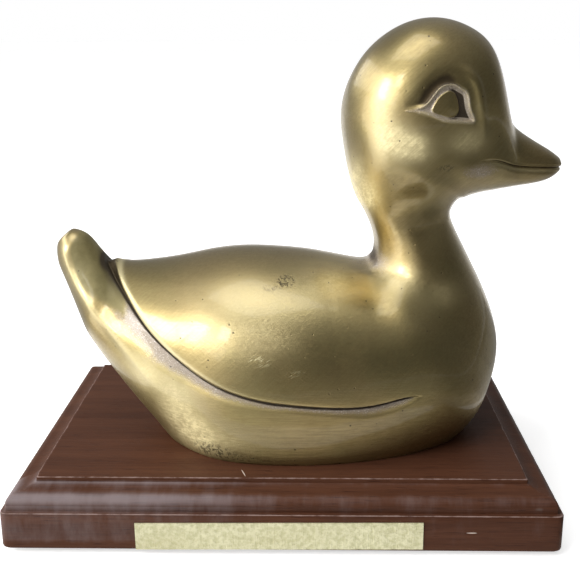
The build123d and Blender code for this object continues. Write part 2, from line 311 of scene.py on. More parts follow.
class Shader:
    """A node tree that is built by adding one node at a time."""

    def __init__(self, tree):
        self.tree = tree
        tree.nodes.clear()

    def add(self, kind, settings, inputs, output=0):
        """Add a node, apply its settings, fill its sockets and return one output."""
        node = self.tree.nodes.new(kind)
        for name, value in settings.items():
            setattr(node, name, value)
        for name, value in inputs.items():
            feed(self.tree, node.inputs[name], value)
        return Signal(self.tree, node.outputs[output]) if node.outputs else None

    def place(self, *scales):
        """Return the object's own coordinates in millimetres, times these three scales."""
        at = self.add("ShaderNodeTexCoord", {}, {}, output=3)
        factors = tuple(scale / MM for scale in scales)
        return self.add("ShaderNodeVectorMath", {"operation": "MULTIPLY"}, {0: at, 1: factors})

    def noise(self, at, scale, detail=3.0, roughness=0.5):
        """Return noise from 0 to 1 with this many features to each unit of the coordinates."""
        sockets = {"Vector": at, "Scale": scale, "Detail": detail, "Roughness": roughness}
        return self.add("ShaderNodeTexNoise", {}, sockets)

    def turned(self, at, angle, scales):
        """Return coordinates that are turned about the side axis and then scaled."""
        sizes = [1 / scale for scale in scales]
        return self.mapped(at, {"Rotation": (0, math.radians(angle), 0), "Scale": sizes})

    def mapped(self, at, sockets):
        """Return coordinates as seen from a moved, turned and sized box."""
        return self.add("ShaderNodeMapping", {"vector_type": "TEXTURE"}, {"Vector": at, **sockets})

    def dash(self, at, middle, turn, reach):
        """Return a mark that is 1 in its middle and 0 outside a turned ellipsoid."""
        angles = [math.radians(angle) for angle in turn]
        inside = self.mapped(at, {"Location": middle, "Rotation": angles, "Scale": reach})
        far = self.add("ShaderNodeVectorMath", {"operation": "LENGTH"}, {0: inside}, output=1)
        return self.step(far, 1.0, 0.7)

    def step(self, value, low, high, start=0.0, end=1.0):
        """Return a smooth change from start to end as value goes from low to high."""
        return self.add(
            "ShaderNodeMapRange", {"interpolation_type": "SMOOTHSTEP"},
            {"Value": value, "From Min": low, "From Max": high, "To Min": start, "To Max": end},
        )

    def mix(self, share, first, second, blend="MIX"):
        """Return a mix of two colours."""
        settings = {"data_type": "RGBA", "blend_type": blend}
        return self.add("ShaderNodeMix", settings, {0: share, 6: first, 7: second}, output=2)

    def streaks(self, scales, detail=3.0, roughness=0.5):
        """Return noise that is drawn out along the axes with small scales."""
        return self.noise(self.place(*scales), 1.0, detail, roughness)

    def bump(self, height, distance, strength=1.0, normal=None):
        """Return a normal that is tilted by a height from 0 to 1 that stands for this distance."""
        sockets = {"Height": height, "Distance": distance, "Strength": strength}
        if normal is not None:
            sockets["Normal"] = normal
        return self.add("ShaderNodeBump", {}, sockets)

    def painted(self, name):
        """Return a value that is painted on the mesh's points."""
        return self.add("ShaderNodeAttribute", {"attribute_name": name}, {}, output=2)

    def surface(self, **sockets):
        """Finish the tree with a Principled shader that has these sockets."""
        inputs = {name.replace("_", " "): value for name, value in sockets.items()}
        self.shown(self.add("ShaderNodeBsdfPrincipled", {}, inputs))

    def shown(self, look):
        """Finish the tree with a material output that shows this shader."""
        self.add("ShaderNodeOutputMaterial", {}, {"Surface": look})

    def glow(self, strength):
        """Return a white emission of this strength."""
        return self.add("ShaderNodeEmission", {}, {"Color": WHITE, "Strength": strength})


def new_finish(name):
    """Return a new material and the shader that fills its tree."""
    material = bpy.data.materials.new(name)
    material.use_nodes = True
    return material, Shader(material.node_tree)


def brass_finish(colours):
    """Antique brass: hand-rubbed, brushed along the body, tarnished where rubbing didn't reach, with painted
    shade in its creases and recesses and painted highlights on rubbed patches and edges.
    """
    material, shader = new_finish("brushed_brass")
    at = shader.place(1, 1, 1)
    paints = ("shaded_and_tarnished", "sandy", "level", "scuffed", "soiled", "polished_and_highlit", "rubbed_and_highlit", "dulled")
    shaded_and_tarnished, sandy, level, scuffed, soiled, polished_and_highlit, rubbed_and_highlit, dulled = map(shader.painted, paints)

    # Clouds of tone, fine brushing along the body and hatching across it
    cloud = shader.noise(at, 0.035, detail=4.0, roughness=0.6)
    mottle = shader.noise(at, 0.30, detail=5.0, roughness=0.65)
    blotch = shader.noise(at, 1.1, detail=4.0, roughness=0.7)
    grain = shader.noise(at, 3.2, detail=3.0, roughness=0.7)
    strokes = shader.streaks((0.08, 1.2, 2.4), detail=6.0, roughness=0.75)
    hatch = shader.noise(shader.turned(at, -42, (0.12, 1.2, 2.2)), 1.0, detail=5.0, roughness=0.7)
    cross_hatch = shader.noise(shader.turned(at, 35, (0.10, 1.2, 2.2)), 1.0, detail=5.0, roughness=0.7)
    brushing = shader.step(level, 40.0, 24.0, 0.30, 1.0)
    lines = strokes * brushing + hatch * (1 - brushing)

    # Sparse cuts and pits
    cuts = shader.step(shader.noise(shader.turned(at, -30, (0.55, 1.0, 4.4)), 1.0, detail=1.0), 0.54, 0.60)
    cuts = cuts * shader.step(scuffed, 0.45, 0.80)
    cells = {"Vector": at, "Scale": 0.42, "Randomness": 1.0}
    pit_gaps = shader.add("ShaderNodeTexVoronoi", {"feature": "F1"}, cells)
    pits = shader.step(pit_gaps, 0.12, 0.05) * shader.step(mottle, 0.48, 0.58)
    specks = shader.step(shader.noise(at, 1.3, detail=4.0, roughness=0.7), 0.47, 0.57)
    pits = pits.math("MAXIMUM", pits, specks * shader.step(soiled, 0.20, 0.80))

    # How far tarnish with painted shade, cast skin, and rubbing with painted highlights cover a place
    tarnish_and_shade = shader.step(shaded_and_tarnished + (mottle - 0.5) * 0.5, 0.30, 0.95)
    cast_share = shader.step(sandy + (mottle - 0.5) * 0.7 + (grain - 0.5) * 0.5, 0.15, 0.95)
    rub_and_highlight = shader.step(mottle * 0.25 + blotch * 0.2 + lines * 0.55, 0.42, 0.60, 0.55, 1.0)
    rub_and_highlight = rubbed_and_highlit.capped() * rub_and_highlight

    # Colour, from the bare metal up to what lies on it, including painted highlights and painted shade
    tone = shader.mix(shader.step(cloud, 0.36, 0.66), BRASS_COOL, BRASS_WARM)
    colour = shader.mix(1.0, tone, colours.brass, blend="MULTIPLY")
    colour = shader.mix(shader.step(lines, 0.36, 0.66) * 0.55, colour, BRASS_STREAK)
    colour = shader.mix(shader.step(mottle, 0.42, 0.70) * 0.22, colour, BRASS_MOTTLE)
    # Rubbed patches, painted pale as highlights
    colour = shader.mix(rub_and_highlight * 0.9, colour, BRASS_RUBBED_HIGHLIGHT)
    # Polished edges, painted brighter as highlights, and bright cuts
    colour = shader.mix((polished_and_highlit + cuts).capped() * 0.8, colour, BRASS_POLISH_HIGHLIGHT)
    olive = shader.mix(shader.step(mottle, 0.35, 0.65), OLIVE_DARK, OLIVE_PALE)
    colour = shader.mix(dulled * 0.85, colour, olive)
    colour = shader.mix(cast_share * 0.8, colour, colours.cast_skin)
    colour = shader.mix(cast_share * shader.step(grain, 0.54, 0.66) * 0.6, colour, CAST_SPECKLE)
    # Tarnish in creases and recesses, which also paints their shade
    colour = shader.mix(tarnish_and_shade * 0.95, colour, colours.patina_and_shade)
    colour = shader.mix(pits * 0.8, colour, PIT_GRIME)

    roughness = 0.15 + strokes * 0.26 * brushing + brushing * 0.12 + mottle * 0.12 + hatch * 0.10
    roughness = roughness + tarnish_and_shade * 0.22 + cast_share * 0.16 + rub_and_highlight * 0.18 + dulled * 0.2
    brushed = shader.bump(strokes * brushing, 0.10 * MM, 0.9)
    hatched = shader.bump((hatch + cross_hatch) * (scuffed + 0.45), 0.050 * MM, 0.9, brushed)
    pitted = shader.bump(1 - pits, 0.08 * MM, 0.8, hatched)
    shader.surface(
        Base_Color=colour,
        Metallic=1.0 - cast_share * 0.35 - rub_and_highlight * 0.75 - polished_and_highlit * 0.3 - dulled * 0.6,
        Roughness=roughness + (blotch - 0.5) * 0.14,
        Normal=shader.bump(grain * cast_share, 0.14 * MM, 0.9, pitted),
        Coat_Weight=0.35 - tarnish_and_shade * 0.28 - dulled * 0.25, Coat_Roughness=0.10, Coat_IOR=1.6,
    )
    return material


def wood_finish(colours):
    """Stained hardwood under worn varnish, with its grain along the plinth, and a painted sheen along the
    moulding's rounds.
    """
    material, shader = new_finish("varnished_hardwood")
    worn, painted_sheen = shader.painted("worn"), shader.painted("painted_sheen")
    warp = shader.streaks((0.012, 0.05, 0.05), detail=2.0)
    figure = shader.streaks((0.010, 0.22, 0.30), detail=5.0, roughness=0.62)
    fibres = shader.streaks((0.055, 1.9, 1.9), detail=6.0, roughness=0.75)
    pores = shader.step(shader.streaks((0.16, 3.6, 3.6), detail=2.0), 0.60, 0.70)
    smear = shader.streaks((0.30, 0.10, 0.10), detail=5.0, roughness=0.62)
    flecks = shader.streaks((0.9, 0.9, 0.9), detail=5.0, roughness=0.7)
    rubbed = shader.step(worn + (flecks - 0.5) * 0.8, 0.40, 0.95)
    # Painted sheen: a pale grey reflection along the moulding's rounds
    sheen_cover = shader.step(painted_sheen + (smear - 0.5) * 0.7, 0.15, 1.15)

    # Colour: the stained grain, then its rubbed edges, the painted sheen and single marks
    bands = shader.step(figure + warp * 0.25, 0.46, 0.78)
    colour = shader.mix(bands * 0.5, colours.wood, colours.wood_dark)
    colour = shader.mix(shader.step(fibres, 0.40, 0.72) * 0.45, colour, WOOD_FIBRE)
    colour = shader.mix(pores * 0.75, colour, colours.wood_dark)
    colour = shader.mix(rubbed * 0.75, colour, colours.worn_wood)
    colour = shader.mix(sheen_cover * 0.45, colour, WOOD_SHEEN)
    at = shader.place(1, 1, 1)
    scars = shader.dash(at, *LOOSE_FIBRE) + shader.dash(at, *FRONT_NICK)
    colour = shader.mix(scars, colour, BARE_WOOD)
    colour = shader.mix(shader.dash(at, *CORNER_DENT) * 0.5, colour, DENTED_WOOD)

    shader.surface(
        Base_Color=colour, Roughness=0.42 + fibres * 0.16 + rubbed * 0.25 + sheen_cover * 0.10,
        Normal=shader.bump(fibres * 0.6 - pores * 0.9, 0.05 * MM, 0.7),
        Coat_Weight=0.06 - rubbed * 0.05, Coat_Roughness=0.14, Specular_IOR_Level=0.05,
    )
    return material


def plate_finish(colours):
    """Thin gold foil, mottled and slightly rippled."""
    material, shader = new_finish("gold_foil")
    at = shader.place(1, 1, 1)
    mottle = shader.noise(at, 0.8, detail=5.0, roughness=0.75)
    hammered = shader.noise(at, 0.8, detail=4.0, roughness=0.60)
    drawn = shader.streaks((3.2, 1, 0.35), detail=3.0, roughness=0.6)
    drift = shader.streaks((0.03, 1, 0.12), detail=2.0)
    crinkle = shader.step(hammered, 0.36, 0.62)
    glints = shader.step(mottle, 0.35, 0.68) * 0.5 + crinkle * 0.35
    foil = shader.mix(glints, colours.plate, FOIL_GLINT)
    colour = shader.mix(shader.step(drift, 0.40, 0.70) * 0.35, foil, FOIL_STAIN)
    shader.surface(
        Base_Color=colour, Metallic=0.55, Roughness=0.30 + mottle * 0.22,
        Normal=shader.bump(hammered + drawn * 0.5, 0.40 * MM, 1.0),
    )
    return material


def felt_finish(colours):
    """Pressed felt with a fine nap."""
    material, shader = new_finish("pressed_felt")
    at = shader.place(1, 1, 1)
    nap = shader.noise(at, 2.4, detail=6.0, roughness=0.8)
    cloud = shader.noise(at, 0.12, detail=3.0)
    colour = shader.mix(shader.step(nap, 0.35, 0.70), colours.felt, FELT_NAP)
    faded = shader.mix(shader.step(cloud, 0.45, 0.75) * 0.3, colour, FELT_FADED)
    shader.surface(
        Base_Color=faded, Roughness=0.95, Normal=shader.bump(nap, 0.25 * MM, 0.9),
        Sheen_Weight=0.35, Sheen_Roughness=0.5,
    )
    return material


def steel_finish(colours):
    """Zinc-plated steel, slightly dull and spotted."""
    material, shader = new_finish("plated_steel")
    at = shader.place(1, 1, 1)
    spots = shader.noise(at, 1.1, detail=5.0, roughness=0.7)
    lathe = shader.streaks((0.6, 0.6, 9.0), detail=3.0)
    colour = shader.mix(shader.step(spots, 0.45, 0.72) * 0.5, colours.steel, STEEL_SPOT)
    shader.surface(
        Base_Color=colour, Metallic=1.0, Roughness=0.28 + spots * 0.22,
        Normal=shader.bump(lathe, 0.02 * MM, 0.6),
    )
    return material


# Curves and surfaces in numbers


def ease(value):
    """Return a smooth step that goes from 0 to 1 as value does."""
    value = np.clip(value, 0, 1)
    return value * value * (3 - 2 * value)


def bell(distance, reach):
    """Return a bell curve that is 1 at no distance and a third at the reach."""
    return np.exp(-((distance / reach) ** 2))


def spline_rows(knots, rows, places):
    """Return rows read off natural cubic splines through the given rows."""
    gaps = np.diff(knots)
    slopes = np.diff(rows, axis=0) / gaps[:, None]
    system = np.eye(len(knots))
    turns = np.zeros_like(rows)
    for k in range(1, len(knots) - 1):
        system[k, k - 1 : k + 2] = gaps[k - 1], 2 * (gaps[k - 1] + gaps[k]), gaps[k]
        turns[k] = 6 * (slopes[k] - slopes[k - 1])
    bends = np.linalg.solve(system, turns)
    k = np.clip(np.searchsorted(knots, places) - 1, 0, len(gaps) - 1)
    gap = gaps[k][:, None]
    after = (places - knots[k])[:, None]
    before = gap - after
    cubic = (bends[k] * before**3 + bends[k + 1] * after**3) / (6 * gap)
    start = (rows[k] / gap - bends[k] * gap / 6) * before
    end = (rows[k + 1] / gap - bends[k + 1] * gap / 6) * after
    return cubic + start + end


def curve_points(points, count):
    """Return this many points, evenly spread over a smooth curve through a few given ones."""
    points = np.array(points, float)
    spans = np.hypot(*np.diff(points, axis=0).T)
    knots = np.concatenate([[0], np.cumsum(spans)])
    return spline_rows(knots, points, np.linspace(0, knots[-1], count))


class CarvedLine:
    """A line drawn in side view, against which places on the skin are measured, in millimetres."""

    def __init__(self, points, count=90, closed=False):
        self.closed = closed
        points = [*points, points[0]] if closed else points
        self.points = curve_points(points, count)

    def gaps(self, places):
        """Return how far each place lies to the line's left, and its share along the line.

        A closed line gives how far each place lies inside it instead.
        """
        starts = self.points[:-1]
        spans = np.diff(self.points, axis=0)
        offsets = places[:, None] - starts
        reach = (offsets * spans).sum(2) / (spans**2).sum(1)
        reach = np.clip(reach, 0, 1)
        distances = np.linalg.norm(offsets - reach[..., None] * spans, axis=2)
        near = distances.argmin(1)
        pick = np.arange(len(places))
        lengths = np.concatenate([[0], np.cumsum(np.hypot(*spans.T))])
        share = (lengths[near] + reach[pick, near] * np.diff(lengths)[near]) / lengths[-1]
        if self.closed:
            ends = starts + spans
            crossing = (starts[:, 1] > places[:, None, 1]) != (ends[:, 1] > places[:, None, 1])
            crossing_x = starts[:, 0] + offsets[..., 1] / (spans[:, 1] + 1e-12) * spans[:, 0]
            sign = np.where((crossing & (places[:, None, 0] < crossing_x)).sum(1) % 2, 1, -1)
        else:
            turn = spans[near, 0] * offsets[pick, near, 1] - spans[near, 1] * offsets[pick, near, 0]
            sign = np.where(turn > 0, 1, -1)
        return sign * distances[pick, near], share


class Skin:
    """The duck's smooth skin on one side, over shares along the duck and around each section."""

    # Where the poles of each half section's curve stand, as shares of its half width and its depth
    END_REACH = 0.667
    SIDE_REACH = 1.267
    SIDE_LEVEL = 0.22
    WIDEST_LEVEL = 1.36
    BELLY_TUCK = 0.6
    BELLY_RISE = 0.5

    def __init__(self, sizes, sections, tips, inset=0.0):
        self.sizes = sizes
        self.inset = inset
        tail, bill = tips
        rows = [self.tip_row(tail, sections[0])] + self.rounded(tail, sections[0])
        rows += list(sections)
        rows += self.rounded(bill, sections[-1])[::-1] + [self.tip_row(bill, sections[-1])]
        self.rows = np.array(rows, float)
        backs = np.hypot(*np.diff(self.rows[:, 0:2], axis=0).T)
        bellies = np.hypot(*np.diff(self.rows[:, 2:4], axis=0).T)
        self.knots = np.concatenate([[0], np.cumsum(np.sqrt(backs + bellies))])

    @staticmethod
    def tip_row(tip, full):
        """Return the section of no size at a tip."""
        return (*tip, *tip, 0.0, *full[5:])

    @staticmethod
    def rounded(tip, full):
        """Return the sections that round off a tip, smallest first."""
        middle = [(full[0] + full[2]) / 2, (full[1] + full[3]) / 2]
        rows = []
        for size, reach in TIP_ROUND_SHARES:
            along, up = (tip[k] + (middle[k] - tip[k]) * reach for k in (0, 1))
            across_along, across_up = ((full[k] - middle[k]) * size for k in (0, 1))
            rows.append(
                (along + across_along, up + across_up, along - across_along, up - across_up,
                 full[4] * size, *full[5:])
            )
        return rows

    def read(self, along):
        """Return the section rows at these shares along the duck, in metres."""
        rows = spline_rows(self.knots, self.rows, along * self.knots[-1])
        start = self.sizes.advance - self.sizes.length / 2
        rows[:, [0, 2]] = start + rows[:, [0, 2]] * self.sizes.length
        rows[:, [1, 3]] = seat_level + rows[:, [1, 3]] * self.sizes.height
        rows[:, 4] *= self.sizes.width
        upward = rows[:, 0:2] - rows[:, 2:4]
        upward /= np.hypot(*upward.T)[:, None] + 1e-12
        rows[:, 0:2] -= upward * self.inset
        rows[:, 2:4] += upward * self.inset
        rows[:, 4] -= self.inset
        return rows

    def points(self, along, around):
        """Return the points at these shares along the duck and from back to belly."""
        rows = self.read(along)
        back, belly, half_width = rows[:, 0:2], rows[:, 2:4], rows[:, 4]
        level = self.WIDEST_LEVEL * (rows[:, 5] - 0.5)
        full = rows[:, 6]
        across_poles = [
            0, self.END_REACH, self.SIDE_REACH, self.SIDE_REACH - self.BELLY_TUCK * full,
            self.END_REACH + full, 0,
        ]
        down_poles = [
            0, 0, 0.5 - self.SIDE_LEVEL + level,
            0.5 + self.SIDE_LEVEL + level - self.BELLY_RISE * full, 1, 1,
        ]
        weights = [math.comb(5, k) * around**k * (1 - around) ** (5 - k) for k in range(6)]
        across = half_width * sum(w * pole for w, pole in zip(weights, across_poles))
        down = sum(w * pole for w, pole in zip(weights, down_poles))
        side = back + (belly - back) * down[:, None]
        return np.stack([side[:, 0], across, side[:, 1]], 1)

    def normals(self, along, around, step=1e-4):
        """Return the outward directions at these shares."""
        ahead = self.points(np.clip(along + step, 0, 1), around)
        behind = self.points(np.clip(along - step, 0, 1), around)
        lower = self.points(along, np.clip(around + step, 0, 1))
        upper = self.points(along, np.clip(around - step, 0, 1))
        outward = np.cross(ahead - behind, lower - upper)
        return outward / (np.linalg.norm(outward, axis=1, keepdims=True) + 1e-15)


class DuckCarving:
    """Everything that is carved in or raised on the duck's smooth skin, worked out in millimetres."""

    PAINTS = ("shaded_and_tarnished", "sandy", "polished_and_highlit", "rubbed_and_highlit", "scuffed", "soiled", "dulled")
    TINY = 1e-6
    WAVER_HEIGHT = 0.05
    RIM_WIDTH = 1.6
    LEAST_RELIEF = 0.15
    # Depth of the facet and how far its dull cast skin and its shade show, by place along the duck
    FACET_PLACES = [-56, -50, -44, -38, -28, -16, -6, 3, 10, 18, 26, 31, 34]
    FACET_DEPTHS = [0.5, 0.9, 1.2, 0.9, 0.7, 0.55, 0.45, 0.45, 0.55, 0.85, 1.0, 0.7, 0.0]
    SANDY_SHARES = [0.0, 0.7, 1.0, 1.0, 1.0, 0.95, 0.8, 0.9, 1.0, 1.0, 1.0, 0.9, 0.0]
    SHADE_SHARES = [0.0, 0.2, 0.9, 0.55, 0.25, 0.12, 0.1, 0.1, 0.1, 0.1, 0.1, 0.1, 0.0]
    # How bright the wing's rim is rubbed and painted with a highlight, by share along its line
    RIM_PLACES, RIM_SHARES = [0.05, 0.12, 0.45, 0.6], [0.2, 0.9, 0.55, 0.0]
    # Soft strips beside each line: what they change, how far from the line, half width and amount. Darkened
    # strips paint shade along with tarnish, and polished strips paint highlights.
    WING_STRIPS = [("height", -0.15, 0.32, -0.35), ("shaded_and_tarnished", -0.10, 0.45, 1.15)]
    CHINE_STRIPS = [("height", 0.0, 1.3, 0.32), ("polished_and_highlit", -0.3, 1.2, 0.35)]
    LID_STRIPS = [("height", 0.10, 0.40, 0.20), ("polished_and_highlit", 0.10, 0.40, 0.40)]
    LID_EDGE_STRIPS = [("shaded_and_tarnished", -0.05, 0.22, 0.35)]
    LID_SAND_STRIPS = [("sandy", 0.15, 0.50, 0.6)]
    SOCKET_STRIPS = [("height", -1.1, 1.5, -0.50), ("shaded_and_tarnished", -0.7, 2.5, 1.05)]
    BROW_STRIPS = [("height", 0.0, 1.1, 0.80)]
    MOUTH_STRIPS = [
        ("height", 0.70, 0.60, 0.10), ("height", -0.10, 0.30, -0.38), ("height", -1.3, 0.90, 0.14),
        ("shaded_and_tarnished", 0.0, 0.28, 0.85), ("polished_and_highlit", -0.80, 0.45, 0.30),
    ]
    # Small swell at the mouth's corner: place, reach along and up, height and sandy share
    CHEEK = (46.5, 82.8, 4.4, 2.0, 0.25, 0.75)

    def __init__(self, sizes):
        self.sizes = sizes
        self.wing = CarvedLine(WING_LINE, 150)
        self.facet = CarvedLine(FACET_LINE, 150)
        self.chine = CarvedLine(CHINE_LINE, 60)
        self.lid = CarvedLine(LID_OUTLINE, 90, closed=True)
        self.iris = CarvedLine(IRIS_OUTLINE, 70, closed=True)
        self.brow = CarvedLine(BROW_LINE, 40)
        self.mouth = CarvedLine(MOUTH_LINE, 40)

    def wanted(self, places, reach):
        """Return which places lie near enough to a sharp line to want a finer mesh."""
        near = np.abs(self.wing.gaps(places)[0] + 0.6 * reach) < 1.6 * reach
        near |= self.lid.gaps(places)[0] > -0.9 * reach
        near |= np.abs(self.mouth.gaps(places)[0]) < 0.8 * reach
        return near

    def shape(self, places, wing_share):
        """Return the height over the skin and the paints at each place."""
        self.layers = {name: np.zeros(len(places)) for name in ("height", *self.PAINTS)}
        self.layers["height"] += self.WAVER_HEIGHT * self.waver(places)
        for swell in SWELLS:
            self.add_spot(places, "height", *swell)
        self.carve_wing(places, wing_share)
        self.carve_chine(places)
        self.carve_eye(places)
        self.carve_mouth(places)
        for paint, marks in MARKS.items():
            for mark in marks:
                self.add_spot(places, paint, *mark)
        height = self.layers.pop("height")
        return height, {name: np.clip(paint, 0, 1) for name, paint in self.layers.items()}

    def add_spot(self, places, layer, along, up, reach_along, reach_up, amount):
        """Add a soft spot that fades with its reach to the height or to a paint."""
        far = np.hypot((places[:, 0] - along) / reach_along, (places[:, 1] - up) / reach_up)
        self.layers[layer] += amount * bell(far, 1.0)

    def add_strips(self, gap, strips, share=1.0):
        """Add soft strips beside a line, as strong as the share at each place."""
        for layer, offset, width, amount in strips:
            self.layers[layer] += amount * bell(gap - offset, width) * share

    @staticmethod
    def waver(places):
        """Return the slow unevenness of a hand-finished skin, from -1 to 1."""
        along, up = places.T
        waves = np.sin(0.21 * along + 0.13 * up) + np.sin(0.17 * up - 0.29 * along + 1.3)
        return (waves + np.sin(0.43 * along + 0.37 * up + 2.1)) / 3

    def carve_wing(self, places, wing_share):
        """Wing that stands proud over a groove darkened with tarnish and painted shade, and a scooped facet
        below it.
        """
        gap, share = self.wing.gaps(places)
        above_facet, _ = self.facet.gaps(places)
        along, up = places.T
        fade = ease((1 - share) / 0.05) * ease(share / 0.03)
        relief = self.sizes.wing_relief / MM * np.clip(wing_share, self.LEAST_RELIEF, 1)
        relief *= ease((74 - up) / 12)
        rim = np.sqrt(1 - (1 - np.clip(gap / self.RIM_WIDTH, 0, 1)) ** 2)
        self.layers["height"] += relief * rim * ease(share / 0.02) * ease((1 - share) / 0.12)
        self.add_strips(gap, self.WING_STRIPS, fade)
        rear = np.interp(share, self.RIM_PLACES, self.RIM_SHARES)
        # The rubbed rim of the wing, painted with a highlight
        self.layers["polished_and_highlit"] += rear * bell(gap - 0.75, 0.60) * fade

        below, above = np.clip(-gap, 0, None), np.clip(above_facet, 0, None)
        reach = below / (below + above + self.TINY)
        on_facet = (gap < 0) & (above_facet > 0)
        flat = ease((-along - 39) / 6)
        scooped = ease((1 - reach) / 0.75) * (1 - flat) + (1 - reach) * flat
        hidden = np.clip(1 - gap / 0.25, 0, 1)
        facet = np.where(gap < 0, scooped * (above_facet > 0), hidden)
        depth = np.interp(along, self.FACET_PLACES, self.FACET_DEPTHS) * self.sizes.facet_depth / MM
        self.layers["height"] -= depth * facet * fade
        shade = np.interp(along, self.FACET_PLACES, self.SHADE_SHARES)
        # Painted shade along the groove under the wing's edge
        self.layers["shaded_and_tarnished"] += shade * bell(gap, 2.7) * (gap < 0.2) * fade
        olive = ease((up - 49.5 + 0.44 * (along + 46)) / 2.5) * ease((-along - 37.0) / 3.5)
        self.layers["dulled"] += olive * ease(-gap / 0.6) * ease(above_facet - 0.8)
        sandy = np.interp(along, self.FACET_PLACES, self.SANDY_SHARES) * (1 - olive)
        self.layers["sandy"] += sandy * ease((1 - reach) / 0.9) * on_facet * fade

    def carve_chine(self, places):
        """Rolled ridge from the tail's tip down the flank, polished and painted with a highlight along it."""
        gap, share = self.chine.gaps(places)
        self.add_strips(gap, self.CHINE_STRIPS, ease(share / 0.08) * ease((1 - share) / 0.5))

    def carve_eye(self, places):
        """Almond recess round a raised iris, under a soft hollow socket that is painted dark as shade, and
        beside the brow. The lid's rims and inner walls are painted with highlights.
        """
        inside, _ = self.lid.gaps(places)
        iris_inside, _ = self.iris.gaps(places)
        along, up = places.T
        corner, right = ease((along - 30.0) / 3.0), ease((along - 37.6) / 1.6)
        wall = ease((inside - 0.15) / 0.75)
        iris_rise = ease((iris_inside + 0.35) / 0.50)
        deep = ease((inside - 0.75) / 0.35) * (1 - iris_rise)
        recess = self.sizes.eye_depth / MM * (0.85 * iris_rise - 1) * (0.45 + 0.55 * right)
        self.layers["height"] += wall * (recess + 0.10 * ease(iris_inside / 2.2))
        # Painted shade deep in the recess, darkest at the iris's right
        self.layers["shaded_and_tarnished"] += deep * (0.12 + 0.88 * right)
        self.layers["sandy"] += wall * (1 - 0.9 * iris_rise)
        # Painted highlight on the recess's walls
        self.layers["polished_and_highlit"] += 0.90 * wall * (1 - iris_rise) * (1 - deep)
        over_lid = ease((up - 97.1 - 0.20 * (along - 28.5)) / 1.1)
        upper_left = over_lid * ease((43.5 - along) / 7) * ease((along - 27.5) / 5)
        # Raised lid rims painted with highlights; their inner edges and the socket above them painted with
        # shade
        self.add_strips(inside, self.LID_STRIPS, corner)
        self.add_strips(inside, self.LID_EDGE_STRIPS, 1 - upper_left)
        self.add_strips(inside, self.LID_SAND_STRIPS)
        self.add_strips(inside, self.SOCKET_STRIPS, upper_left * (inside < 0))
        gap, share = self.brow.gaps(places)
        self.add_strips(gap, self.BROW_STRIPS, ease(share / 0.3) * ease((1 - share) / 0.35))

    def carve_mouth(self, places):
        """Slit along the bill, with the upper half overhanging the lower one's lit ledge. The slit is painted
        with shade and the ledge with a highlight.
        """
        gap, share = self.mouth.gaps(places)
        self.add_strips(gap, self.MOUTH_STRIPS, ease(share / 0.30))
        *spot, height, sandy = self.CHEEK
        self.add_spot(places, "height", *spot, height)
        self.add_spot(places, "sandy", *spot, sandy)


# Mesh building


def sheet_places(skin, spacing, wanted=None):
    """Return a half skin's mesh as a flat sheet of shares, split finer where it is wanted."""
    samples = 60
    shares = np.linspace(0, 1, samples)
    middle = skin.points(shares, np.full(samples, 0.5))
    girth = skin.points(np.full(samples, GIRTH_SHARE), shares)
    length, depth = (np.linalg.norm(np.diff(line, axis=0), axis=1).sum() for line in (middle, girth))
    bm = bmesh.new()
    bmesh.ops.create_grid(
        bm, x_segments=round(length / spacing), y_segments=round(depth / spacing), size=0.5
    )
    bmesh.ops.translate(bm, verts=bm.verts, vec=(0.5, 0.5, 0))
    for reach in SPLIT_REACHES if wanted else ():
        places = np.array([vert.co[:2] for vert in bm.verts])
        bm.verts.index_update()
        marked = wanted(skin.points(*places.T)[:, [0, 2]] / MM, reach)
        edges = [edge for edge in bm.edges if all(marked[vert.index] for vert in edge.verts)]
        bmesh.ops.subdivide_edges(bm, edges=edges, cuts=1, use_grid_fill=True)
    return bm


def new_object(name, bm, finish):
    """Turn a bmesh into an object with this finish."""
    mesh = bpy.data.meshes.new(name)
    bm.to_mesh(mesh)
    bm.free()
    mesh.materials.append(finish)
    made = bpy.data.objects.new(name, mesh)
    bpy.context.collection.objects.link(made)
    return made


def mesh_object(name, bm, finish, sharp_angle=math.pi, body="root"):
    """Turn a bmesh into a finished piece that rides on a body, smooth where it turns less than an angle."""
    piece = new_object(name, bm, finish)
    piece.data.shade_smooth()
    if sharp_angle < math.pi:
        piece.data.set_sharp_from_angle(angle=sharp_angle)
    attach(piece, body)
    return piece


def half_skin(bm, skin, carving=None):
    """Lay a sheet of shares on the skin, carve it, and mirror it to the duck's other side."""
    layers = {name: bm.verts.layers.float.new(name) for name in (*DuckCarving.PAINTS, "level")}
    verts = list(bm.verts)
    along, around = np.array([vert.co[:2] for vert in verts]).T
    points = skin.points(along, around)
    paints = {}
    if carving:
        wing_share = skin.read(along)[:, 7]
        height, paints = carving.shape(points[:, [0, 2]] / MM, wing_share)
        points += skin.normals(along, around) * height[:, None] * MM
        for x, z, reach, blur in SMOOTHED:
            soften(points, np.array([x, z]) * MM, reach * MM, blur * MM)
    for k, vert in enumerate(verts):
        vert.co = points[k]
        if on_middle_plane(vert):
            vert.co.y = 0
        for name, paint in paints.items():
            vert[layers[name]] = paint[k]
        vert[layers["level"]] = vert.co.z / MM
    bmesh.ops.mirror(bm, geom=everything(bm), merge_dist=SLIVER, axis="Y")
    bmesh.ops.remove_doubles(bm, verts=bm.verts, dist=WELD_GAP)
    bmesh.ops.dissolve_degenerate(bm, edges=bm.edges, dist=SLIVER)
    bmesh.ops.recalc_face_normals(bm, faces=bm.faces)
    seat = {"plane_co": (0, 0, seat_level), "plane_no": (0, 0, -1)}
    bmesh.ops.bisect_plane(bm, geom=everything(bm), clear_outer=True, **seat)


def everything(bm):
    """Return all points, edges and faces of a mesh."""
    return bm.verts[:] + bm.edges[:] + bm.faces[:]


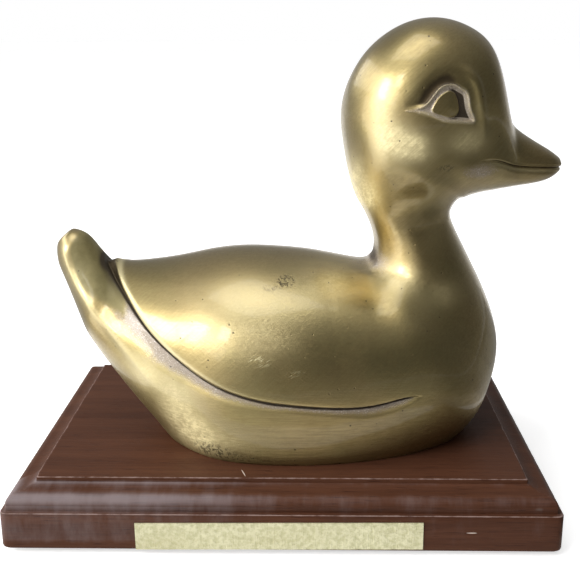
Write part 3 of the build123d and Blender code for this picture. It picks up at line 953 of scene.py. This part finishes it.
def soften(points, place, reach, blur, count=65, empty=0.3):
    """Blur how far the skin stands out around a place in side view, over a square grid of cells.

    Lengths are in metres, and a cell that no point falls in weighs as little as empty says.
    """
    margin = 1.6 * reach
    offsets = points[:, [0, 2]] - place
    gaps = np.linalg.norm(offsets, axis=1)
    near = gaps < margin
    offsets, gaps, out = offsets[near], gaps[near], points[near, 1]
    ticks = np.linspace(-margin, margin, count)
    cells = tuple(np.round((offsets / (2 * margin) + 0.5) * (count - 1)).astype(int).T)
    sums, hits = np.zeros((2, count, count))
    np.add.at(sums, cells, out)
    np.add.at(hits, cells, 1)
    along, up = (bell(offsets[:, [k]] - ticks, blur) for k in (0, 1))
    heights = ((along @ (sums / np.maximum(hits, 1))) * up).sum(1)
    weights = ((along @ np.clip(hits, empty, 1)) * up).sum(1)
    off_middle = ease((out - 4 * MM) / (6 * MM))
    share = ease((reach - gaps) / (margin - reach)) * off_middle
    points[near, 1] += share * (heights / weights - out)


def on_middle_plane(vert):
    """Return whether a sheet's point lies on the duck's middle plane."""
    return vert.co.y < 0.02 * MM


def rim_of(bm):
    """Return the edges that bound only one face."""
    return [edge for edge in bm.edges if len(edge.link_faces) == 1]


def add_ring(bm, points):
    """Add a closed ring of points and return its vertices."""
    ring = [bm.verts.new(point) for point in points]
    for first, second in zip(ring, ring[1:] + ring[:1]):
        bm.edges.new((first, second))
    return ring


def join_rings(bm, first, second):
    """Add a band of faces between two rings with as many points."""
    for k in range(len(first)):
        after = (k + 1) % len(first)
        bm.faces.new((first[k], first[after], second[after], second[k]))


def fill_rings(bm, *rings):
    """Fill the flat face that lies inside the first ring and outside the others."""
    edges = [bm.edges.get((ring[k - 1], ring[k])) for ring in rings for k in range(len(ring))]
    bmesh.ops.triangle_fill(bm, edges=edges, use_beauty=True)


def circle(middle, radius, level, count=40):
    """Return the points of a level circle."""
    turns = np.linspace(0, 2 * math.pi, count, endpoint=False)
    return [(middle + radius * math.cos(turn), radius * math.sin(turn), level) for turn in turns]


def ripple(places, seed):
    """Return slow wavering from -1 to 1 at these places, the same each time for a seed."""
    rates = np.array([0.13, 0.31, 0.57, 0.93]) * (1 + 0.1 * seed) / MM
    return sum(np.sin(places * rate + seed * 1.7 * k) for k, rate in enumerate(rates)) / len(rates)


class DUCK_OT_casting(bpy.types.Operator):
    """Cast the hollow duck with its wings, eyes and bill"""

    bl_idname = "duck.casting"
    bl_label = "Duck casting"

    def execute(self, context):
        sizes = context.scene.duck_sizes
        carving = DuckCarving(sizes)
        skin = Skin(sizes, SECTION_SHARES, (TAIL_TIP_SHARE, BILL_TIP_SHARE))
        bm = sheet_places(skin, sizes.mesh_spacing, carving.wanted)
        half_skin(bm, skin, carving)
        self.add_hollow(bm, sizes)
        piece = mesh_object("brass_duck", bm, brass_finish(context.scene.duck_colours))
        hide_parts("duck_casting")
        return {"FINISHED"}

    def add_hollow(self, bm, sizes):
        """Add the inside of the casting and close the rim that it stands on."""
        sections = SECTION_SHARES[HOLLOW_SECTIONS]
        ends = [((row[0] + row[2]) / 2, (row[1] + row[3]) / 2) for row in (sections[0], sections[-1])]
        hollow = Skin(sizes, sections, ends, sizes.wall)
        inner = sheet_places(hollow, 3 * sizes.mesh_spacing)
        half_skin(inner, hollow)
        bmesh.ops.reverse_faces(inner, faces=inner.faces)
        mesh = bpy.data.meshes.new("hollow")
        inner.to_mesh(mesh)
        inner.free()
        bm.from_mesh(mesh)
        bpy.data.meshes.remove(mesh)
        bmesh.ops.triangle_fill(bm, edges=rim_of(bm), use_beauty=True)


class DUCK_OT_plinth(bpy.types.Operator):
    """Mould the plinth and drill it for its screws"""

    bl_idname = "duck.plinth"
    bl_label = "Plinth"

    # Chafing of the edges: the ripple at which it starts, its depth, and its drop as a share of that
    CHAFE_START, CHAFE, CHAFE_DROP = 0.15, 0.32 * MM, 0.3
    # Rubbed varnish: its mean, its swing along an edge, and its least share at the mitres
    WEAR_MEAN, WEAR_SWING, MITRE_WEAR = 0.85, 0.35, 0.45
    # The ripples run this much faster along the ends than along the front, so that no two sides are alike
    TRAVEL_SLANT = 1.37
    # Points further forward than this share of the half width belong to the front
    FRONT_SHARE = 0.8
    CORNER_STEPS = 6
    SIDE_STEPS = 90
    CORNERS = ((1, 1), (-1, 1), (-1, -1), (1, -1))
    # How far the painted sheen reaches along the front, strongest at the left: least share, end and width of
    # its fading in millimetres
    SHEEN_FADE = (0.35, 8, 40)

    def execute(self, context):
        bm = bmesh.new()
        self.worn = bm.verts.layers.float.new("worn")
        self.painted_sheen = bm.verts.layers.float.new("painted_sheen")
        sizes = context.scene.plinth_sizes
        rings = [self.moulding_ring(bm, *row) for row in self.profile(sizes)]
        for lower, upper in zip(rings, rings[1:]):
            join_rings(bm, lower, upper)
        holes = [self.screw_hole(bm, place, sizes) for place in screw_places]
        fill_rings(bm, rings[0], *(hole[0] for hole in holes))
        fill_rings(bm, rings[-1], *(hole[-1] for hole in holes))
        bmesh.ops.recalc_face_normals(bm, faces=bm.faces)
        finish = wood_finish(context.scene.duck_colours)
        piece = mesh_object("moulded_plinth", bm, finish, SHARP_ANGLE)
        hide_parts("plinth")
        return {"FINISHED"}

    @staticmethod
    def screw_hole(bm, place, sizes):
        """Add a counterbored hole for a screw and return its rings from the bottom up."""
        ledge = plinth_low.z + sizes.pocket_depth
        pocket, hole = sizes.pocket_width / 2, sizes.hole_width / 2
        steps = ((pocket, plinth_low.z), (pocket, ledge), (hole, ledge), (hole, plinth_high.z))
        rings = [add_ring(bm, circle(place, radius, level)) for radius, level in steps]
        for lower, upper in zip(rings, rings[1:]):
            join_rings(bm, lower, upper)
        return rings

    @staticmethod
    def rounding(turn):
        """Return how far in and up a quarter round has come after this turn from its foot, as shares."""
        return 1 - math.cos(math.radians(turn)), math.sin(math.radians(turn))

    def profile(self, sizes):
        """Return the moulding from the table up: inset, level, corner radius, wear and painted sheen of each
        ring.
        """
        band, arris, corner, shoulder = sizes.band, sizes.arris, sizes.corner, sizes.shoulder
        inner_corner = corner / 4
        bead_level = band + sizes.quirk
        cove, cove_level = shoulder + sizes.bead, bead_level + sizes.bead
        panel, top = cove + sizes.cove_width, plinth_high.z - plinth_low.z
        # The foot turns out and up, so its quarter round is read the other way round
        rows = []
        for turn in (0, 30, 60, 90):
            lift, outset = self.rounding(turn)
            rows.append((corner / 2 * (1 - outset), corner / 2 * lift, corner, 0.2, 0.0))
        rows += [(0, band * share, corner, 0.0, 0.42) for share in (0.3, 0.65)]
        for turn, wear in ((0, 0.1), (35, 1.0), (65, 1.0), (90, 0.6)):
            inset, lift = self.rounding(turn)
            rows.append((arris * inset, band - arris * (1 - lift), corner, wear, 0.4))
        rows.append((shoulder * 0.8, band, inner_corner, 0.0, 0.5))
        rows.append((shoulder, band + arris / 4, inner_corner, 0.0, 0.5))
        rows.append((shoulder, bead_level - arris, inner_corner, 0.2, 0.7))
        for turn in (0, 15, 30, 45, 60, 75, 90):
            inset, lift = (share * sizes.bead for share in self.rounding(turn))
            # Painted sheen, strongest halfway round the bead
            painted_sheen = 0.55 + 0.45 * math.sin(math.radians(min(turn, 90 - turn) * 2))
            rows.append((shoulder + inset, bead_level + lift, inner_corner, 0.0, painted_sheen))
        for share, painted_sheen in ((0.25, 0.30), (0.5, 0.30), (0.75, 0.40), (0.97, 0.8), (1.0, 0.5)):
            inset, level = cove + sizes.cove_width * share, cove_level + sizes.cove_rise * share**2
            rows.append((inset, level, inner_corner, 0.0, painted_sheen))
        for turn, wear in ((0, 0.35), (45, 1.0), (90, 0.6)):
            inset, lift = self.rounding(turn)
            rows.append((panel + arris * inset, top - arris * (1 - lift), inner_corner, wear, 0.0))
        rows += [(panel + shoulder * share, top, inner_corner, 0.0, 0.0) for share in (0.6, 2.5)]
        return rows

    def outline(self, half, radius):
        """Return the points of a round-cornered oblong, and for each whether it lies on a corner."""
        points, cornered = [], []
        shares = np.linspace(0, 1, self.SIDE_STEPS + 1)[1:-1]
        for k, signs in enumerate(self.CORNERS):
            turns = np.radians(np.linspace(0, 90, self.CORNER_STEPS) + 90 * k)
            arc = (half - radius) * signs + radius * np.stack([np.cos(turns), np.sin(turns)], 1)
            end = (half - radius) * self.CORNERS[(k + 1) % 4]
            end += radius * np.array([math.cos(turns[-1]), math.sin(turns[-1])])
            points += [arc, arc[-1] + (end - arc[-1]) * shares[:, None]]
            cornered += [1] * self.CORNER_STEPS + [0] * len(shares)
        return np.concatenate(points), cornered

    def moulding_ring(self, bm, inset, level, radius, wear, painted_sheen):
        """Add one ring of the moulding, with its edges chafed unevenly where they wear, and its painted
        sheen.
        """
        half = np.array([(high - low) / 2 - inset for low, high in zip(plinth_low[:2], plinth_high[:2])])
        points, cornered = self.outline(half, radius)
        travel = points[:, 0] + self.TRAVEL_SLANT * points[:, 1]
        chafe = np.clip(ripple(travel, level / MM % 3.0) - self.CHAFE_START, 0, 1) * self.CHAFE * wear
        points -= points / np.linalg.norm(points, axis=1, keepdims=True) * chafe[:, None]
        levels = plinth_low.z + level - self.CHAFE_DROP * chafe
        ring = add_ring(bm, [(*point, z) for point, z in zip(points, levels)])
        front = points[:, 1] < -self.FRONT_SHARE * half[1]
        least, end, width = self.SHEEN_FADE
        left = least + (1 - least) * ease((end - points[:, 0] / MM) / width)
        patches = self.WEAR_MEAN + self.WEAR_SWING * ripple(travel, 2.0 + level / MM)
        mitre = self.MITRE_WEAR if painted_sheen and radius < MM else 0.0
        for vert, on_corner, sheened, patch in zip(ring, cornered, painted_sheen * left * front, patches):
            vert[self.worn] = max(wear * patch, mitre * on_corner)
            vert[self.painted_sheen] = sheened
        return ring


class DUCK_OT_nameplate(bpy.types.Operator):
    """Stick the thin gold nameplate on the plinth's front band"""

    bl_idname = "duck.nameplate"
    bl_label = "Nameplate"

    TILT = math.radians(0.45)
    # In millimetres: play in length, how far the foil's face stands out, its edge's curl and that one's width
    PLAY, FACE, CURL, CURL_WIDTH = 0.06, 0.34, 0.05, 0.5
    # Height of each ripple in millimetres, and how fast it turns along and up, in radians to a millimetre
    RIPPLES = ((0.020, 0.9, 0.0), (0.014, 2.3, 1.4))

    def execute(self, context):
        middle = (plate_low + plate_high) / 2
        length = (plate_high.x - plate_low.x) - self.PLAY * MM
        height = (plate_high.z - plate_low.z) - length * math.sin(self.TILT)
        bm = bmesh.new()
        bmesh.ops.create_grid(bm, x_segments=130, y_segments=14, size=0.5)
        for vert in bm.verts:
            along, up = vert.co.x * length, vert.co.y * height
            edge = min(0.5 - abs(vert.co.x), (0.5 - abs(vert.co.y)) * height / length)
            ripples = sum(rise * math.sin((along * a + up * b) / MM) for rise, a, b in self.RIPPLES)
            out = self.FACE + ripples - self.CURL * math.exp(-edge * length / (self.CURL_WIDTH * MM))
            vert.co = (
                middle.x + along * math.cos(self.TILT) - up * math.sin(self.TILT),
                plate_high.y - out * MM,
                middle.z + along * math.sin(self.TILT) + up * math.cos(self.TILT),
            )
        rim = bmesh.ops.extrude_edge_only(bm, edges=rim_of(bm))
        backs = [item for item in rim["geom"] if isinstance(item, bmesh.types.BMVert)]
        for vert in backs:
            vert.co.y = plate_high.y
        bmesh.ops.triangle_fill(bm, edges=rim_of(bm), use_beauty=True)
        bmesh.ops.recalc_face_normals(bm, faces=bm.faces)
        finish = plate_finish(context.scene.duck_colours)
        piece = mesh_object("foil_nameplate", bm, finish, SHARP_ANGLE)
        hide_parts("nameplate")
        return {"FINISHED"}


class DUCK_OT_underside(bpy.types.Operator):
    """Finish the felt, the screws and the washers"""

    bl_idname = "duck.underside"
    bl_label = "Felt and fixings"

    def execute(self, context):
        colours = context.scene.duck_colours
        felt, steel = felt_finish(colours), steel_finish(colours)
        for name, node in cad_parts.items():
            if name == "felt_base":
                finish, slot = felt, "felt"
            elif name.endswith(("_screw", "_washer")):
                finish, slot = steel, "steel"
            else:
                continue
            node.data.materials.clear()
            node.data.materials.append(finish)
        return {"FINISHED"}


class DUCK_OT_stage(bpy.types.Operator):
    """Set the pale floor, the soft lights and the camera"""

    bl_idname = "duck.stage"
    bl_label = "Stage"

    CAMERA_PLACE = (6.45, -231.2, 114.5)
    CAMERA_YAW = -1.22
    CAMERA_PITCH = 15.56
    CAMERA_ROLL = 0.25
    CAMERA_LENS = 57.75
    LIGHT_CENTRE = (0.0, 0.0, 0.05)
    FLOOR_LEVEL = -0.02 * MM
    FLOOR_RADIUS = 12.0
    FLOOR_COLOUR = (0.80, 0.80, 0.80)
    FLOOR_GLOW = 0.62
    CARD_LEVEL = 0.5 * MM
    CARD_STEPS = 24
    # Brightness of the world: all round, and added behind, above and at the left
    WORLD_LEVELS = (0.14, 0.20, 0.30, 0.9)
    WORLD_WAYS = ((0, 1, 0), (0, 0, 1), (-0.90, -0.36, 0.22))
    # Azimuth from the front, elevation, distance, width, height and brightness of each lamp
    LAMPS = {
        "left_wall": (-74, 7, 0.90, 0.55, 0.45, 2.4),
        "left_sky": (-88, 34, 1.00, 2.60, 0.36, 2.8),
        "window": (-57, 31, 0.80, 0.19, 0.27, 12.0),
        "small_window": (-33, 39, 0.80, 0.11, 0.20, 13.0),
        "overhead": (-50, 80, 0.42, 0.24, 0.24, 3.0),
    }
    # First and last azimuth, near and far radius and brightness of the cards that the metal mirrors
    CARDS = {
        "left_card": (-82, -48, 0.082, 2.0, 2.7),
        "rear_card": (-150, -82, 0.115, 2.0, 0.65),
        "front_card": (-38, 4, 0.095, 2.0, 0.50),
        "middle_card": (4, 50, 0.095, 2.0, 0.30),
        "side_strip": (50, 90, 0.085, 0.115, 0.35),
        "right_strip": (90, 140, 0.085, 0.135, 0.50),
        "side_card": (50, 100, 0.115, 2.0, 0.16),
        "right_card": (100, 140, 0.135, 0.60, 0.35),
        "far_card": (100, 140, 0.60, 2.0, 0.12),
    }

    def execute(self, context):
        self.add_floor()
        self.add_world(context.scene)
        for name, settings in self.LAMPS.items():
            self.add_lamp(name, *settings)
        for name, settings in self.CARDS.items():
            self.add_card(name, *settings)
        self.add_camera(context.scene)
        context.scene.view_settings.view_transform = "Standard"
        return {"FINISHED"}

    def add_floor(self):
        """Add a wide pale floor that reads as white, keeps the duck's shadow and is clear from below."""
        material, shader = new_finish("pale_floor")
        matt = shader.add("ShaderNodeBsdfDiffuse", {}, {"Color": self.FLOOR_COLOUR})
        glow = shader.glow(self.seen(shader) * self.FLOOR_GLOW)
        both = shader.add("ShaderNodeAddShader", {}, {0: matt, 1: glow})
        below = shader.add("ShaderNodeNewGeometry", {}, {}, output="Backfacing")
        clear = shader.add("ShaderNodeBsdfTransparent", {}, {})
        shader.shown(shader.add("ShaderNodeMixShader", {}, {0: below, 1: both, 2: clear}))
        bm = bmesh.new()
        bmesh.ops.create_circle(bm, cap_ends=True, segments=96, radius=self.FLOOR_RADIUS)
        floor = new_object("floor", bm, material)
        floor.location.z = self.FLOOR_LEVEL

    @staticmethod
    def seen(shader, mirrored=1.0):
        """Return 1 for what the camera or a glass shows, the given share for a mirror, else 0."""
        camera, glossy, through = (
            shader.add("ShaderNodeLightPath", {}, {}, output=ray)
            for ray in ("Is Camera Ray", "Is Glossy Ray", "Is Transmission Ray")
        )
        return (camera + glossy * mirrored + through).capped()

    def add_world(self, scene):
        """Light the scene softly, pale along the horizon, brighter behind and above, dim to the right."""
        world = bpy.data.worlds.new("studio")
        world.use_nodes = True
        shader = Shader(world.node_tree)
        way = shader.add("ShaderNodeTexCoord", {}, {}, output=0)
        back, up, left = (
            shader.add("ShaderNodeVectorMath", {"operation": "DOT_PRODUCT"}, {0: way, 1: axis}, output=1)
            for axis in self.WORLD_WAYS
        )
        around, behind, above, beside = self.WORLD_LEVELS
        level = around + shader.step(back, 0.2, 0.8) * behind
        level = level + shader.step(up, 0.5, 1.0) * above + shader.step(left, 0.35, 0.95) * beside
        white = self.seen(shader, shader.step(up, 0.14, 0.05) * shader.step(back, 0.62, 0.90))
        strength = level + white * (1 - level)
        glow = shader.add("ShaderNodeBackground", {}, {"Color": WHITE, "Strength": strength})
        shader.add("ShaderNodeOutputWorld", {}, {"Surface": glow})
        scene.world = world

    def add_card(self, name, start, end, near, far, brightness):
        """Add a grey card that lies on the floor and is seen only in mirroring surfaces."""
        bm = bmesh.new()
        turns = np.radians(np.linspace(start, end, self.CARD_STEPS + 1))
        inner, outer = (
            [bm.verts.new((r * math.sin(turn), -r * math.cos(turn), self.CARD_LEVEL)) for turn in turns]
            for r in (near, far)
        )
        for k in range(self.CARD_STEPS):
            bm.faces.new((inner[k], outer[k], outer[k + 1], inner[k + 1]))
        material, shader = new_finish(name)
        shader.shown(shader.glow(brightness))
        card = new_object(name, bm, material)
        card.visible_camera = card.visible_diffuse = card.visible_shadow = False

    def add_lamp(self, name, azimuth, elevation, distance, width, height, brightness):
        """Add a soft rectangular lamp that faces the duck."""
        lamp = bpy.data.lights.new(name, "AREA")
        lamp.shape = "RECTANGLE"
        lamp.size, lamp.size_y = width, height
        lamp.energy = brightness * math.pi * width * height
        turn, rise = math.radians(azimuth), math.radians(elevation)
        way = Vector((math.sin(turn) * math.cos(rise), -math.cos(turn) * math.cos(rise), math.sin(rise)))
        holder = bpy.data.objects.new(name, lamp)
        holder.location = Vector(self.LIGHT_CENTRE) + way * distance
        holder.rotation_euler = way.to_track_quat("Z", "Y").to_euler()
        bpy.context.collection.objects.link(holder)

    def add_camera(self, scene):
        """Add the camera at the photograph's place and angle."""
        camera = bpy.data.cameras.new("camera")
        camera.lens = self.CAMERA_LENS
        camera.clip_start = 0.01
        holder = bpy.data.objects.new("camera", camera)
        turns = (self.CAMERA_YAW, self.CAMERA_PITCH, self.CAMERA_ROLL)
        yaw, pitch, roll = (math.radians(turn) for turn in turns)
        forward = Vector((math.sin(yaw) * math.cos(pitch), math.cos(yaw) * math.cos(pitch), -math.sin(pitch)))
        level_right = forward.cross(Vector((0, 0, 1))).normalized()
        level_down = forward.cross(level_right)
        right = level_right * math.cos(roll) + level_down * math.sin(roll)
        down = level_down * math.cos(roll) - level_right * math.sin(roll)
        turn = Matrix((right, -down, -forward)).transposed().to_4x4()
        holder.matrix_world = Matrix.Translation(Vector(self.CAMERA_PLACE) * MM) @ turn
        bpy.context.collection.objects.link(holder)
        scene.camera = holder


class DUCK_PT_panel(bpy.types.Panel):
    """Sidebar panel that lists the sizes, the colours and the pieces"""

    bl_label = "Brass duck"
    bl_space_type = "VIEW_3D"
    bl_region_type = "UI"
    bl_category = "Duck"

    def draw(self, context):
        for group in (context.scene.duck_sizes, context.scene.plinth_sizes, context.scene.duck_colours):
            box = self.layout.box()
            for name in group.__annotations__:
                box.prop(group, name)
        for operator in OPERATORS:
            self.layout.operator(operator.bl_idname)


OPERATORS = (DUCK_OT_casting, DUCK_OT_plinth, DUCK_OT_nameplate, DUCK_OT_underside, DUCK_OT_stage)
CLASSES = (DuckSizes, PlinthSizes, DuckColours, *OPERATORS, DUCK_PT_panel)


def register():
    """Register the classes and attach the settings to the scene."""
    for cls in CLASSES:
        bpy.utils.register_class(cls)
    bpy.types.Scene.duck_sizes = PointerProperty(type=DuckSizes)
    bpy.types.Scene.plinth_sizes = PointerProperty(type=PlinthSizes)
    bpy.types.Scene.duck_colours = PointerProperty(type=DuckColours)


def unregister():
    """Remove the settings and the classes again."""
    del bpy.types.Scene.duck_colours
    del bpy.types.Scene.plinth_sizes
    del bpy.types.Scene.duck_sizes
    for cls in reversed(CLASSES):
        bpy.utils.unregister_class(cls)


def main():
    """Build every piece and the stage."""
    register()
    for operator in OPERATORS:
        group, name = operator.bl_idname.split(".")
        getattr(getattr(bpy.ops, group), name)()


if __name__ == "__main__":
    main()
